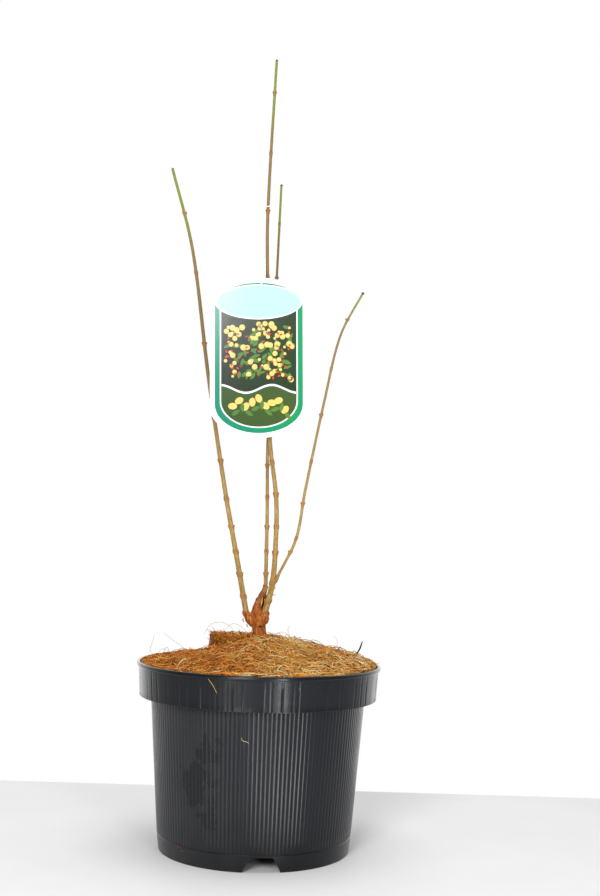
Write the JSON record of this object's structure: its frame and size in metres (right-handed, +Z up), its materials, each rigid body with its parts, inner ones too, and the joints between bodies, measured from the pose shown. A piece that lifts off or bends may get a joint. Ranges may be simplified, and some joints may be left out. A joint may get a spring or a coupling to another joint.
{
  "type": "potted wintersweet",
  "caption": "Young bare wintersweet shrub in a round black nursery pot, with a coir mulch mat and a hang label.",
  "frame": {"origin": "centre of the pot on the plane of its underside", "axes": "+Z up along the pot's axis, +X to the viewer's right, -Y to the front where the label faces"},
  "size_m": [0.1856, 0.1856, 0.6058],
  "materials": {
    "pot_plastic": "satin black moulded plastic with fine vertical ribs",
    "potting_soil": "moist dark peat compost",
    "coir": "loose golden brown coconut fibre",
    "old_bark": "rough orange-brown bark",
    "young_bark": "olive-tan streaked bark",
    "green_shoot": "young olive-green bark",
    "label_card": "glossy white printed plastic",
    "thread": "white twisted thread"
  },
  "bodies": {
    "root": {"pot": "pot_plastic", "potting_soil": "potting_soil", "coir_mat": "coir", "trunk": "old_bark", "stem_left": "young_bark", "stem_tall": "young_bark", "stem_middle": "young_bark", "stem_right": "young_bark", "shoot_left": "green_shoot", "shoot_tall": "green_shoot", "shoot_middle": "green_shoot", "shoot_right": "green_shoot", "care_label": "label_card", "label_thread": "thread"}
  },
  "joints": []
}
